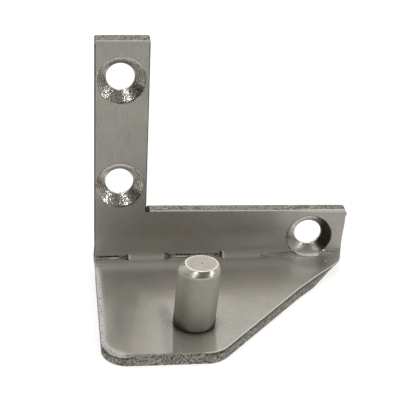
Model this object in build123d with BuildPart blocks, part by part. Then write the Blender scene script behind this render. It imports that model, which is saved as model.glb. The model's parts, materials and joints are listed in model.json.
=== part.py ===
from build123d import *
from math import radians, tan
import os

# Lower corner hinge of a fridge door, in millimetres, +Z up.
# The origin is on the pin's axis, at the shelf's upper face.
# +Y points at the cabinet, +X along the shelf to the far end of the leg.

# Folded sheet
sheet_thickness = 3.0
inside_bend_radius = 2.0
fold_width = 61.3            # left edge to the leg's end, at the fold
end_flare = 0.4              # how far the top of the leg's end stands out past the fold
shelf_reach = 42.4           # upright's front face to the shelf's front edge
front_edge_length = 25.5     # left edge to where the diagonal would meet the front edge
diagonal_setback = 0.5       # upright's front face to where the diagonal meets the leg's end
plan_corner_radius = 6.0     # rounded front corners of the shelf
end_corner_radius = 1.0      # where the diagonal turns into the leg's end

# Upright, with heights above the shelf's upper face
strip_width = 12.5
strip_height = 55.8
leg_height_at_strip = 12.75
leg_height_at_end = 11.95
blank_corner_radius = 0.5    # outer corners of the upright
relief_radius = 0.5          # small round relief in the corner between strip and leg
relief_centre_inset = 0.1    # how far the relief's centre lies inside the open corner

# Screw holes, countersunk from the front for M6 screws
screw_hole_radius = 3.3
sink_radius = 5.65
sink_angle = 90              # full angle of the countersink's cone
strip_holes_from_left = 6.0
lower_hole_height = 19.7
strip_hole_spacing = 26.5
leg_hole_from_end = 8.3
leg_hole_height = 5.0

# Scored marks along the middle of the fold's inside, as start and end from the left edge
score_margin = 1.5           # plain stretch at each end of the fold
score_spans = ((score_margin, 8.2), (17.5, 31.3), (41.0, fold_width - score_margin))
score_radius = 0.45
score_depth = 0.3
cross_mark_length = 1.5      # short mark across the fold where a score ends beside a plain stretch
cross_mark_radius = 0.3
cross_mark_depth = 0.2

# Upper edge of the shelf that was dressed round, from the fold to just past the left corner
dressed_radius = 1.4
dressed_run_off_angle = 15   # the dressing leaves the corner on this slant, and so fades along the front
dressed_run_off = 7.0
cut_overrun = 0.5            # how far the dressing cut reaches outside the sheet

# Pin, riveted into the shelf from below
pin_from_left = 21.7
pin_from_upright = 30.3
pin_radius = 4.75
pin_height = 15.1
pin_chamfer = 1.1
centre_mark_radius = 0.3
spigot_radius = 3.0
spigot_clearance = 0.02
rivet_head_radius = 4.2
rivet_head_recess = 0.1      # the riveted end stays this far above the underside

# Places that follow from the sizes above
left = -pin_from_left
fold_end = left + fold_width
leg_end = fold_end + end_flare
front_face = pin_from_upright
back_face = front_face + sheet_thickness
underside = -sheet_thickness
front_edge = front_face - shelf_reach
strip_right = left + strip_width
outside_bend_radius = inside_bend_radius + sheet_thickness
shelf_bend_line = front_face - inside_bend_radius
sink_slope = tan(radians(sink_angle / 2))    # widening of a countersink's radius for each mm of height
sink_depth = (sink_radius - screw_hole_radius) / sink_slope
sink_apex_depth = sink_radius / sink_slope
strip_hole_x = left + strip_holes_from_left
leg_hole_x = fold_end - leg_hole_from_end
spigot_hole_radius = spigot_radius + spigot_clearance
rivet_head_depth = (rivet_head_radius - spigot_radius) / sink_slope

# Middle of the fold, halfway between shelf and upright
right_angle = 90
fold_angle = right_angle / 2
fold_centre = Vector(0, shelf_bend_line, inside_bend_radius)
to_fold = Vector(0, 1, 0).rotate(Axis.X, -fold_angle)
along_fold = Vector(0, 1, 0).rotate(Axis.X, fold_angle)
score_centre = fold_centre + to_fold * (inside_bend_radius + score_depth - score_radius)
cross_mark_centre = fold_centre + to_fold * (inside_bend_radius + cross_mark_depth - cross_mark_radius)

# Faces that the holes are drilled from
front_plane = Plane(origin=(0, front_face, 0), x_dir=(1, 0, 0), z_dir=(0, -1, 0))
under_plane = Plane(origin=(0, 0, underside), x_dir=(1, 0, 0), z_dir=(0, 0, -1))


# The leg's countersink was made before folding, so the fold carried its lower side round with it.
# Below the hole it is a flat floor, which rises from the shelf's bend line to the bore.
floor_front = Vector(leg_hole_x, shelf_bend_line, 0)
floor_back = Vector(leg_hole_x, front_face + sink_depth, leg_hole_height - screw_hole_radius)
floor_normal = Vector(1, 0, 0).cross(floor_back - floor_front)
floor_plane = Plane(origin=floor_front, x_dir=(1, 0, 0), z_dir=floor_normal)
with BuildPart() as leg_sink:
    with BuildSketch(Plane.YZ.offset(leg_hole_x)):
        with BuildLine():
            Polyline(
                (shelf_bend_line, leg_hole_height),
                (shelf_bend_line, leg_hole_height + sink_radius),
                (front_face, leg_hole_height + sink_radius),
                (front_face + sink_apex_depth, leg_hole_height),
                close=True,
            )
        make_face()
    revolve(axis=Axis((leg_hole_x, 0, leg_hole_height), (0, 1, 0)))
    split(bisect_by=floor_plane, keep=Keep.TOP)


# Shelf and upright are one folded sheet
with BuildPart() as bracket_plate:
    # Side view of the fold, carried across the full width
    with BuildSketch(Plane.YZ.offset(left)) as side_view:
        with BuildLine():
            Polyline(
                (front_edge, underside),
                (back_face, underside),
                (back_face, strip_height),
                (front_face, strip_height),
                (front_face, 0),
                (front_edge, 0),
                close=True,
            )
        make_face()
        outside_corner = side_view.vertices().sort_by_distance((back_face, underside))[0]
        fillet(outside_corner, radius=outside_bend_radius)
        inside_corner = side_view.vertices().sort_by_distance((front_face, 0))[0]
        fillet(inside_corner, radius=inside_bend_radius)
    extrude(amount=leg_end - left)

    # Front view: the tall strip, the low leg and the slanted end of the leg
    with BuildSketch(Plane.XZ.offset(-back_face)) as front_view:
        with BuildLine():
            Polyline(
                (left, underside),
                (fold_end, underside),
                (fold_end, 0),
                (leg_end, leg_height_at_end),
                (strip_right, leg_height_at_strip),
                (strip_right, strip_height),
                (left, strip_height),
                close=True,
            )
        make_face()
        top_corners = front_view.vertices().group_by(Axis.Y)[-1]
        leg_corner = front_view.vertices().sort_by(Axis.X)[-1]
        fillet([*top_corners, leg_corner], radius=blank_corner_radius)
        with Locations((strip_right + relief_centre_inset, leg_height_at_strip + relief_centre_inset)):
            Circle(relief_radius, mode=Mode.SUBTRACT)
    extrude(amount=back_face - front_edge, mode=Mode.INTERSECT)

    # Plan view: two rounded front corners and the diagonal up to the leg's end
    with BuildSketch(Plane.XY.offset(underside)) as plan_view:
        with BuildLine():
            Polyline(
                (left, back_face),
                (leg_end, back_face),
                (leg_end, front_face - diagonal_setback),
                (left + front_edge_length, front_edge),
                (left, front_edge),
                close=True,
            )
        make_face()
        front_corners = plan_view.vertices().group_by(Axis.Y)[0]
        fillet(front_corners, radius=plan_corner_radius)
        diagonal_end = plan_view.vertices().sort_by_distance((leg_end, front_face - diagonal_setback))[0]
        fillet(diagonal_end, radius=end_corner_radius)
    extrude(amount=strip_height - underside, mode=Mode.INTERSECT)

    # Screw holes in the strip
    with Locations(front_plane):
        with Locations(
            (strip_hole_x, lower_hole_height),
            (strip_hole_x, lower_hole_height + strip_hole_spacing),
        ):
            CounterSinkHole(
                radius=screw_hole_radius,
                counter_sink_radius=sink_radius,
                counter_sink_angle=sink_angle,
                depth=sheet_thickness,
            )

    # Screw hole in the leg
    with BuildSketch(front_plane):
        with Locations((leg_hole_x, leg_hole_height)):
            Circle(screw_hole_radius)
    extrude(amount=-sheet_thickness, mode=Mode.SUBTRACT)
    add(leg_sink.part, mode=Mode.SUBTRACT)

    # Hole for the pin's spigot, countersunk below for the riveted end
    with Locations(under_plane):
        CounterSinkHole(
            radius=spigot_hole_radius,
            counter_sink_radius=rivet_head_radius + spigot_clearance,
            counter_sink_angle=sink_angle,
            depth=sheet_thickness,
        )

    # Scored marks along the fold
    for score_start, score_end in score_spans:
        with BuildSketch(Plane.YZ.offset(left + score_start)):
            with Locations((score_centre.Y, score_centre.Z)):
                Circle(score_radius)
        extrude(amount=score_end - score_start, mode=Mode.SUBTRACT)

    # Cross marks at the inner ends of the scores
    cross_marks = [span_end for span in score_spans for span_end in span][1:-1]
    for mark_from_left in cross_marks:
        mark_centre = cross_mark_centre + Vector(left + mark_from_left, 0, 0)
        with BuildSketch(Plane(origin=mark_centre, x_dir=(1, 0, 0), z_dir=along_fold)):
            Circle(cross_mark_radius)
        extrude(amount=cross_mark_length / 2, both=True, mode=Mode.SUBTRACT)

    # Dressed upper edge of the shelf
    with BuildLine() as dressed_edge:
        side_run = Line((left, shelf_bend_line), (left, front_edge + plan_corner_radius))
        corner_run = JernArc(
            start=side_run @ 1,
            tangent=side_run % 1,
            radius=plan_corner_radius,
            arc_size=right_angle - dressed_run_off_angle,
        )
        PolarLine(start=corner_run @ 1, length=dressed_run_off, direction=corner_run % 1)
    with BuildSketch(Plane(origin=(left, shelf_bend_line, 0), x_dir=(1, 0, 0), z_dir=(0, -1, 0))):
        with BuildLine():
            RadiusArc((dressed_radius, 0), (0, -dressed_radius), -dressed_radius)
            Polyline(
                (0, -dressed_radius),
                (-cut_overrun, -dressed_radius),
                (-cut_overrun, cut_overrun),
                (dressed_radius, cut_overrun),
                (dressed_radius, 0),
            )
        make_face()
    sweep(path=dressed_edge.wire(), mode=Mode.SUBTRACT)

bracket_plate.part.label = "bracket_plate"


# Pin: plain shank with a shoulder on the shelf, and a spigot below it
with BuildPart() as hinge_pin:
    with BuildSketch(Plane.XZ):
        with BuildLine():
            Polyline(
                (0, underside + rivet_head_recess),
                (rivet_head_radius - rivet_head_recess * sink_slope, underside + rivet_head_recess),
                (spigot_radius, underside + rivet_head_depth),
                (spigot_radius, 0),
                (pin_radius, 0),
                (pin_radius, pin_height - pin_chamfer),
                (pin_radius - pin_chamfer, pin_height),
                (centre_mark_radius, pin_height),
                (0, pin_height - centre_mark_radius),
                close=True,
            )
        make_face()
    revolve(axis=Axis.Z)

hinge_pin.part.label = "hinge_pin"


os.makedirs("parts", exist_ok=True)
export_step(bracket_plate.part, "parts/bracket_plate.step")
export_step(hinge_pin.part, "parts/hinge_pin.step")
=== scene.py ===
import json
import math

import bmesh
import bpy
import numpy as np
from mathutils import Matrix, Vector
from mathutils.geometry import delaunay_2d_cdt


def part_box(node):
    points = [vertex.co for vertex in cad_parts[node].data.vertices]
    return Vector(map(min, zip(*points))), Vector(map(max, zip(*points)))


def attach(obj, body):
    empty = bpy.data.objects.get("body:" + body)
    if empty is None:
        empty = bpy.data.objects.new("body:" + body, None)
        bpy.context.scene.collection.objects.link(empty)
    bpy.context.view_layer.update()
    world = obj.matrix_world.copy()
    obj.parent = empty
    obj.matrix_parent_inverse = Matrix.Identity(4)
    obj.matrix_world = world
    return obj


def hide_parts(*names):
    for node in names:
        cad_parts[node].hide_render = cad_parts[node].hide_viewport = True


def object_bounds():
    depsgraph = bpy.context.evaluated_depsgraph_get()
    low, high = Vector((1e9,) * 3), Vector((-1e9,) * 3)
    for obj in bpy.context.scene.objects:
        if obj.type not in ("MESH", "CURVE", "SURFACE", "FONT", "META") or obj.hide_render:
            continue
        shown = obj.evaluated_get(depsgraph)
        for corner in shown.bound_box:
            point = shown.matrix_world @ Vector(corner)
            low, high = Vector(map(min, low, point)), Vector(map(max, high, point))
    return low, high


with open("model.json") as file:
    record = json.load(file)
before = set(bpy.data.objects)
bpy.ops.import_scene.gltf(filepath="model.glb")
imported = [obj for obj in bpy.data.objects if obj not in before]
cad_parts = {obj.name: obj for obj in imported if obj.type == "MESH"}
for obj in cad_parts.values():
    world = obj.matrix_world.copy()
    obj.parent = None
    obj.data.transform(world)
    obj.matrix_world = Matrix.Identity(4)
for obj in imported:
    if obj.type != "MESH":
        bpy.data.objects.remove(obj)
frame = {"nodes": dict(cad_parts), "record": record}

mm = 0.001
cadLow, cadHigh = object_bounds()
plateLow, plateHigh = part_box("bracket_plate")
pinLow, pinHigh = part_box("hinge_pin")
mounts = {mount["name"]: mount for mount in frame["record"]["mounts"]}
print("frame loaded:", len(frame["nodes"]), "nodes")


# Small tools

def addNode(tree, kind, inputs=None, **settings):
    node = tree.nodes.new(kind)
    for name, value in settings.items():
        setattr(node, name, value)
    for key, value in (inputs or {}).items():
        if isinstance(value, bpy.types.NodeSocket):
            tree.links.new(value, node.inputs[key])
        else:
            node.inputs[key].default_value = value
    return node


def linearColour(hexText):
    channels = [int(hexText[i:i + 2], 16) / 255 for i in (1, 3, 5)]
    return [c / 12.92 if c <= 0.04045 else ((c + 0.055) / 1.055) ** 2.4 for c in channels] + [1.0]


def smoothStep(start, end, value):
    share = np.clip((value - start) / (end - start), 0.0, 1.0)
    return share * share * (3.0 - 2.0 * share)


def bell(value, middle, reach):
    return np.exp(-((value - middle) / reach) ** 2)


def between(value, rise, fall):
    # fades in over the rise and out again over the fall
    return smoothStep(*rise, value) * (1.0 - smoothStep(*fall, value))

def newMaterial(name):
    material = bpy.data.materials.new(name)
    material.use_nodes = True
    material.node_tree.nodes.clear()
    return material, material.node_tree


def geometryTree(name, inputs):
    tree = bpy.data.node_groups.new(name, "GeometryNodeTree")
    tree.interface.new_socket("Geometry", in_out="INPUT", socket_type="NodeSocketGeometry")
    for label, kind in inputs.items():
        tree.interface.new_socket(label, in_out="INPUT", socket_type=kind)
    tree.interface.new_socket("Geometry", in_out="OUTPUT", socket_type="NodeSocketGeometry")
    return tree, tree.nodes.new("NodeGroupInput").outputs


def runTree(piece, tree, values):
    modifier = piece.modifiers.new(tree.name, "NODES")
    modifier.node_group = tree
    for item in tree.interface.items_tree:
        if item.in_out == "INPUT" and item.name in values:
            modifier[item.identifier] = values[item.name]
    depsgraph = bpy.context.evaluated_depsgraph_get()
    finished = bpy.data.meshes.new_from_object(
        piece.evaluated_get(depsgraph), preserve_all_data_layers=True, depsgraph=depsgraph
    )
    piece.modifiers.remove(modifier)
    piece.data = finished
    finished.name = piece.name


def newObject(name, data):
    made = bpy.data.objects.new(name, data)
    bpy.context.scene.collection.objects.link(made)
    return made


def addAttribute(mesh, name, kind, domain, values):
    attribute = mesh.attributes.new(name, kind, domain)
    field = "vector" if kind == "FLOAT_VECTOR" else "value"
    attribute.data.foreach_set(field, np.asarray(values).ravel())


def startFinish(name, finish):
    # a new material and what it reads: the place on the object, its noises and its stored shares
    material, tree = newMaterial(name)
    read = {"place": addNode(tree, "ShaderNodeTexCoord").outputs["Object"]}
    for label, (size, detail, roughness) in finish["noises"].items():
        read[label] = addNode(tree, "ShaderNodeTexNoise", {
            "Vector": read["place"], "Scale": 1.0 / (size * mm), "Detail": detail, "Roughness": roughness,
        }).outputs["Fac"]
    for label in finish["shares"]:
        read[label] = addNode(tree, "ShaderNodeAttribute", attribute_name=label).outputs["Fac"]
    return material, tree, read


def layered(tree, colour, layers):
    # lays colours over the first one, each by its share. A colour is its hex text or a socket
    for share, over in layers:
        under, over = (linearColour(c) if isinstance(c, str) else c for c in (colour, over))
        colour = addNode(tree, "ShaderNodeMix", {
            "Factor": share, 6: under, 7: over,
        }, data_type="RGBA").outputs[2]
    return colour


def endFinish(tree, bumps, inputs):
    # lays the bumps one over the other, each with its height, strength and depth, and adds the shader
    under = {}
    for height, strength, depth in bumps:
        under["Normal"] = addNode(tree, "ShaderNodeBump", {
            "Height": height, "Strength": strength, "Distance": depth * mm, **under,
        }).outputs[0]
    shader = addNode(tree, "ShaderNodeBsdfPrincipled", {**inputs, **under}).outputs[0]
    addNode(tree, "ShaderNodeOutputMaterial", {"Surface": shader})


# Materials. Every noise has its size in mm, its detail and its roughness. Shares are stored on the meshes.

# Rolled stainless sheet with a worn satin face. Its fine rubbing marks spread the light into a wide
# soft reflection, so the sheet darkens towards the fold. A smooth skin between the marks adds a faint
# sharp image of the strip and the pin on the shelf.
sheetFinish = {
    "rolledColour": "#c2bdb3",
    "greyerColour": "#b6b2a9",
    "groundColour": "#f4f1ec",      # where the edge was dressed or the fold scored, down to bright metal, and for the painted sheen, highlights and glints
    "groundShade": "#3f3c37",
    "groundRoughness": 0.5,
    "grimeColour": "#2e2b26",       # painted shade along edges, in the notch, scores and holes and round the pin's foot, with dark residue in the scores and round the foot
    "filmColour": "#5a564e",        # painted shade low on the upright, below its hole, by the pin and at the left
    "bareMetal": 0.86,              # the rest is a thin dull film from handling, which scatters light
    "groundMetal": 0.42,            # ground metal is scratched every way and scatters more; the painted sheen along the fold takes the same
    "roughnessLow": 0.46,
    "roughnessHigh": 0.58,
    "skinShare": 0.47,
    "skinRoughness": 0.13,
    "rubbingSpacing": 0.3,          # mm; real marks are about 0.05 mm apart, too fine to show
    "rubbingLength": 5.0,           # mm
    "rubbingStrength": 0.3,
    "rubbingDepth": 0.002,          # mm
    "pitDepth": 0.018,              # mm
    "speckTone": 0.8,               # how much the specks change the colour, against the clouds
    "toneEnds": (0.7, 1.1),
    "speckGrime": 1.6,              # and break up the painted shade and residue
    "grimeEnds": (1.0, 1.5),
    "pitEnds": (0.34, 0.42),
    "markEnds": (0.35, 0.65),
    "levelEnds": (0.4, 0.9),        # how far a face looks up or down, from upright to shelf
    "noises": {"clouds": (6.0, 5.0, 0.7), "pits": (0.42, 1.0, 0.5), "specks": (0.3, 1.0, 0.5)},
    "shares": ("freshMetal", "pitted", "film", "grime"),
}


def makeSheetFinish():
    finish = sheetFinish
    material, tree, read = startFinish("rolledStainlessSheet", finish)
    facing = addNode(tree, "ShaderNodeSeparateXYZ", {
        0: addNode(tree, "ShaderNodeNewGeometry").outputs["Normal"],
    }).outputs["Z"]
    flat = addNode(tree, "ShaderNodeMapRange", {
        "Value": addNode(tree, "ShaderNodeMath", {0: facing}, operation="ABSOLUTE").outputs[0],
        "From Min": finish["levelEnds"][0], "From Max": finish["levelEnds"][1],
    }).outputs[0]
    fine, long = (1.0 / (finish[size] * mm) for size in ("rubbingSpacing", "rubbingLength"))
    # rubbed upwards on the upright and across on the shelf
    rubbed = []
    for scale in ((fine, fine, long), (long, fine, fine)):
        stretched = addNode(tree, "ShaderNodeMapping", {"Vector": read["place"], "Scale": scale}).outputs[0]
        rubbed.append(addNode(tree, "ShaderNodeTexNoise", {
            "Vector": stretched, "Scale": 1.0, "Detail": 2.0,
        }).outputs["Fac"])
    marks = addNode(tree, "ShaderNodeMix", {
        "Factor": flat, 2: rubbed[0], 3: rubbed[1],
    }, data_type="FLOAT").outputs[0]
    # painted shade and residue, broken up by the specks
    tone, shadedAndDirty = (
        addNode(tree, "ShaderNodeMapRange", {
            "Value": addNode(tree, "ShaderNodeMath", {
                0: read["specks"], 1: finish[weight], 2: read[other],
            }, operation="MULTIPLY_ADD").outputs[0],
            "From Min": finish[ends][0], "From Max": finish[ends][1],
        }).outputs[0]
        for weight, other, ends in (("speckTone", "clouds", "toneEnds"), ("speckGrime", "grime", "grimeEnds"))
    )
    patchy = addNode(tree, "ShaderNodeMath", {
        0: addNode(tree, "ShaderNodeMapRange", {
            "Value": read["pits"], "From Min": finish["pitEnds"][0], "From Max": finish["pitEnds"][1],
        }).outputs[0],
        1: addNode(tree, "ShaderNodeMath", {0: 1.0, 1: read["pitted"]}, operation="SUBTRACT").outputs[0],
    }, operation="MAXIMUM").outputs[0]
    ground = layered(tree, finish["groundShade"], [(patchy, finish["groundColour"])])
    colour = layered(tree, finish["rolledColour"], (
        (tone, finish["greyerColour"]),
        (read["film"], finish["filmColour"]),
        (read["freshMetal"], ground),
        (shadedAndDirty, finish["grimeColour"]),
    ))
    rolledRoughness = addNode(tree, "ShaderNodeMapRange", {
        "Value": marks, "From Min": finish["markEnds"][0], "From Max": finish["markEnds"][1],
        "To Min": finish["roughnessLow"], "To Max": finish["roughnessHigh"],
    }).outputs[0]
    roughness, metal = (
        addNode(tree, "ShaderNodeMix", {
            "Factor": read["freshMetal"], 2: rolled, 3: bare,
        }, data_type="FLOAT").outputs[0]
        for rolled, bare in (
            (rolledRoughness, finish["groundRoughness"]), (finish["bareMetal"], finish["groundMetal"]),
        )
    )
    bumps = (
        (marks, finish["rubbingStrength"], finish["rubbingDepth"]),
        (read["pits"], read["freshMetal"], finish["pitDepth"]),
    )
    endFinish(tree, bumps, {
        "Base Color": colour, "Metallic": metal, "Roughness": roughness,
        "Coat Weight": finish["skinShare"], "Coat Roughness": finish["skinRoughness"],
    })
    return material


# Sheared edge of the blank: torn and rubbed stainless, duller and browner than the faces, with
# upright tear marks and small bright patches.
shearedFinish = {
    "tornColour": "#4c4841",
    "brightColour": "#b3ada1",
    "grimeColour": "#1f1d1a",       # painted shade in the notch beside the strip and under the upper edges
    "roughness": 0.5,
    "tearTone": 0.6,                # how much the tears change the colour, against the patches
    "brightEnds": (0.64, 0.98),
    "tearStrength": 0.5,
    "tearDepth": 0.03,              # mm
    "noises": {"tears": (0.2, 3.0, 0.6), "patches": (0.5, 2.0, 0.5)},
    "shares": ("grime",),
}


def makeShearedFinish():
    finish = shearedFinish
    material, tree, read = startFinish("shearedStainlessEdge", finish)
    mottle = addNode(tree, "ShaderNodeMath", {
        0: read["tears"], 1: finish["tearTone"], 2: read["patches"],
    }, operation="MULTIPLY_ADD").outputs[0]
    bright = addNode(tree, "ShaderNodeMapRange", {
        "Value": mottle, "From Min": finish["brightEnds"][0], "From Max": finish["brightEnds"][1],
    }).outputs[0]
    colour = layered(tree, finish["tornColour"], (
        (bright, finish["brightColour"]), (read["grime"], finish["grimeColour"]),
    ))
    endFinish(tree, [(read["tears"], finish["tearStrength"], finish["tearDepth"])], {
        "Base Color": colour, "Metallic": 1.0, "Roughness": finish["roughness"],
    })
    return material


# Countersinks: bare cut stainless with the tool's rings and chatter, so it breaks the light into
# small glints, with painted shade in a crescent inside the top of each bore and in the leg's countersink, and
# a darker arc along one side of each rim.
sinkFinish = {
    "cutColour": "#e6e2d9",
    "dullColour": "#b9b4a9",
    "grimeColour": "#25231f",
    "rubbedColour": "#d3cfc5",      # the floor of the leg's countersink, drawn smooth by the fold
    "roughness": 0.24,
    "rubbedRoughness": 0.42,
    "brightEnds": (0.4, 0.6),
    "cutDepth": 0.13,               # mm, of the chatter
    "ringPitch": 0.45,              # mm, drawn coarser than the real rings of about 0.15 mm
    "ringStrength": 0.5,
    "ringDepth": 0.012,             # mm
    "noises": {"cuts": (0.52, 1.0, 0.5)},
    "shares": ("fromAxis", "grime", "freshMetal", "chatter"),
}


def makeSinkFinish():
    finish = sinkFinish
    material, tree, read = startFinish("countersunkStainless", finish)
    rings = addNode(tree, "ShaderNodeMath", {
        0: addNode(tree, "ShaderNodeMath", {
            0: read["fromAxis"], 1: 2.0 * math.pi / (finish["ringPitch"] * mm),
        }, operation="MULTIPLY").outputs[0],
    }, operation="SINE").outputs[0]
    bright = addNode(tree, "ShaderNodeMapRange", {
        "Value": read["cuts"], "From Min": finish["brightEnds"][0], "From Max": finish["brightEnds"][1],
    }).outputs[0]
    colour = layered(tree, finish["dullColour"], (
        (bright, finish["cutColour"]),
        (read["freshMetal"], finish["rubbedColour"]),
        (read["grime"], finish["grimeColour"]),
    ))
    roughness = addNode(tree, "ShaderNodeMix", {
        "Factor": read["freshMetal"], 2: finish["roughness"], 3: finish["rubbedRoughness"],
    }, data_type="FLOAT").outputs[0]
    bumps = (
        (rings, finish["ringStrength"], finish["ringDepth"]),
        (read["cuts"], read["chatter"], finish["cutDepth"]),
    )
    endFinish(tree, bumps, {"Base Color": colour, "Metallic": 1.0, "Roughness": roughness})
    return material


# Turned stainless pin: a dull rubbed shank, and a faced end that is still bright from the tool.
pinFinish = {
    "shankColour": "#aca89d",
    "facedColour": "#cdc5bd",
    "chamferColour": "#cbc7bc",
    "footColour": "#2b2924",        # painted contact shade round the foot with some residue, and a painted dark reflection that climbs higher at both sides
    "footClimb": (0.8, 3.2),        # mm, at the front and at the sides
    "footSides": (0.4, 0.95),
    "footFade": (0.3, 1.0),
    "footShare": 0.72,
    "footLine": (0.25, 0.7),        # mm, where the painted contact shadow, the darkest line round the foot, fades
    "footLineShare": 0.97,
    "shankRoughness": 0.42,
    "facedRoughness": 0.48,
    "chamferRoughness": 0.24,
    "blotchRoughness": 0.2,
    "ringPitch": 0.35,              # mm, drawn coarser than the real feed marks of about 0.1 mm
    "ringStrength": 0.4,
    "ringDepth": 0.004,             # mm
    "noises": {"blotches": (1.3, 3.0, 0.5)},
    "shares": ("facedEnd", "chamfer"),
}


def makePinFinish():
    finish = pinFinish
    material, tree, read = startFinish("turnedStainless", finish)
    parts = addNode(tree, "ShaderNodeSeparateXYZ", {0: read["place"]}).outputs
    turns = 2.0 * math.pi / (finish["ringPitch"] * mm)
    known = {"x": parts["X"], "y": parts["Y"], "z": parts["Z"], "turns": turns}
    for name, operation, *inputs in (
        ("ySquared", "MULTIPLY", "y", "y"),
        ("outSquared", "MULTIPLY_ADD", "x", "x", "ySquared"),
        ("out", "SQRT", "outSquared"),
        ("travel", "SUBTRACT", "out", "z"),
        ("turned", "MULTIPLY", "travel", "turns"),
        ("rings", "SINE", "turned"),
        ("xSize", "ABSOLUTE", "x"),
        ("sideways", "DIVIDE", "xSize", "out"),
    ):
        sockets = {i: known[key] for i, key in enumerate(inputs)}
        known[name] = addNode(tree, "ShaderNodeMath", sockets, operation=operation).outputs[0]
    # painted contact shade round the foot, climbing higher at both sides as a painted reflection, with some
    # residue
    climb = addNode(tree, "ShaderNodeMapRange", {
        "Value": known["sideways"],
        "From Min": finish["footSides"][0], "From Max": finish["footSides"][1],
        "To Min": finish["footClimb"][0] * mm, "To Max": finish["footClimb"][1] * mm,
    }).outputs[0]
    climbed = addNode(tree, "ShaderNodeMapRange", {
        "Value": addNode(tree, "ShaderNodeMath", {0: parts["Z"], 1: climb}, operation="DIVIDE").outputs[0],
        "From Min": finish["footFade"][0], "From Max": finish["footFade"][1],
        "To Min": finish["footShare"], "To Max": 0.0,
    }).outputs[0]
    footLine = addNode(tree, "ShaderNodeMapRange", {
        "Value": parts["Z"], "From Min": finish["footLine"][0] * mm, "From Max": finish["footLine"][1] * mm,
        "To Min": finish["footLineShare"], "To Max": 0.0,
    }).outputs[0]
    foot = addNode(tree, "ShaderNodeMath", {0: climbed, 1: footLine}, operation="MAXIMUM").outputs[0]
    colour = layered(tree, finish["shankColour"], (
        (read["facedEnd"], finish["facedColour"]),
        (read["chamfer"], finish["chamferColour"]),
        (foot, finish["footColour"]),
    ))
    steady = addNode(tree, "ShaderNodeMix", {
        "Factor": read["facedEnd"], 2: finish["shankRoughness"], 3: finish["facedRoughness"],
    }, data_type="FLOAT").outputs[0]
    blotchy = addNode(tree, "ShaderNodeMath", {
        0: read["blotches"], 1: finish["blotchRoughness"], 2: steady,
    }, operation="MULTIPLY_ADD").outputs[0]
    roughness = addNode(tree, "ShaderNodeMix", {
        "Factor": read["chamfer"], 2: blotchy, 3: finish["chamferRoughness"],
    }, data_type="FLOAT").outputs[0]
    endFinish(tree, [(known["rings"], finish["ringStrength"], finish["ringDepth"])], {
        "Base Color": colour, "Metallic": 1.0, "Roughness": roughness,
    })
    return material


# Bracket: the flat blank lies at shelf level, X to the right and Y towards the fold and beyond it,
# with the height measured along the sheet's inner face. The tree then folds it up. Lengths are in mm.
bracket = {
    "insideBendRadius": 2.0,
    "frontEdgeLength": 25.5,
    "frontCornerRadius": 6.0,
    # right end, from the diagonal up to the leg: x, y from the bend line, radius
    "cornerBulge": (
        (48.0, -14.15, 30.0), (54.15, -7.8, 40.0), (57.6, -4.55, 0.0), (60.0, -2.15, 2.2),
        (60.9, 0.0, 4.0), (61.3, 2.6, 6.0), (61.3, 5.1, 8.0), (61.66, 9.6, 3.0),
    ),
    "legTopAtEnd": 12.0,
    "legTopAtStrip": 12.75,
    "blankCornerRadius": 0.5,
    "leftReach": 0.5,               # points this near the left belong to the left edge
    "legStart": 13.2,               # and points past this, clear of the relief, to the leg
    "diagonalStart": 22.0,
    "rightStart": 30.0,
    "legEndStart": 60.0,
    "stripWidthBelow": 12.4,
    "stripWidthAbove": 12.62,
    "reliefRadius": 0.4,
    "reliefInset": 0.28,
    "reliefPoints": 16,
    "sinkRadius": 5.65,
    "rivetHeadRadius": 4.22,
    "spigotHoleRadius": 3.02,
    "holeSoftness": 0.06,           # how far a hole's sharp edges are taken off
    "boreMargin": 0.16,             # flat ring round a bore, and round the rivet's head
    "sinkMargin": 0.1,              # flat ring round a countersink
    "holePoints": 120,
    "topSkin": 0.02,                # points no deeper than this belong to the upper face
    "edgeStep": 0.25,               # spacing of the points along every edge
    "straight": 0.01,               # a smaller turn, in radians, is no corner
    "largestTurn": 0.26,            # between two points of a corner
    "edgeRound": 0.17,
    "dressedRound": 1.4,
    "dressedShallow": 0.4,          # the dressing is this much shallower than it is wide
    "dressedSide": (-1.2, -3.6),    # where it starts at the left, from the bend line
    "dressedFront": (3.0, 8.5),     # where it fades along the front, from the left
    "groundLegEdge": 0.55,          # bevel that was rubbed onto the leg's upper edge near its end
    "groundLegFade": (45.0, 57.0),
    "besideEdge": ((0.07, 0.55, 0.0), (0.04, 0.2, 0.12)),  # rows on the face: inset, more if dressed, bare
    "easedPoints": 12,              # neighbours on either side that smooth the way the edge looks
    "wallRows": 9,
    "roundRows": 7,
    "lowerRoundRows": 3,
    "lowerMargin": 0.05,
    "faceSpacing": 1.0,
    "rowSpacing": 0.866,            # share of that, for even triangles
    "holeClearance": 0.12,
    "edgeClearance": 0.14,
    "foldRows": 16,
    "foldAcross": (0.3, 0.6),       # spacing of the points in the fold, inside and outside
    "foldInset": 0.2,
    "foldMargin": 0.6,
    "innerBulge": 0.27,             # metal pushed out at the ends of the fold's inside
    "innerBulgeReach": 2.2,
    "outerDrawIn": 0.3,
    "outerDrawInReach": 3.0,
    "stripTopSlant": (0.2, 0.22),   # top edges lean back: inner face in, outer face out
    "legTopSlant": (0.05, 0.1),
    "topReach": 0.7,
    "legTopStart": 13.0,
    "legTopLimit": 15.0,
    "cornerDrawIn": 2.3,            # how far the lower face falls short of the bulged right corner
    "cornerDrawInReach": (11.0, 7.0),
    "drawInTop": 9.0,
    "burr": 0.3,                    # at the front of the leg's end, just below its top
    "burrHeight": 10.9,
    "burrReach": 0.45,
    "edgeRoughness": 0.05,
    "tearLength": 0.9,
    "chatterDepth": 0.035,
    "chatterSize": 0.9,
    "seed": 7,
}
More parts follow.
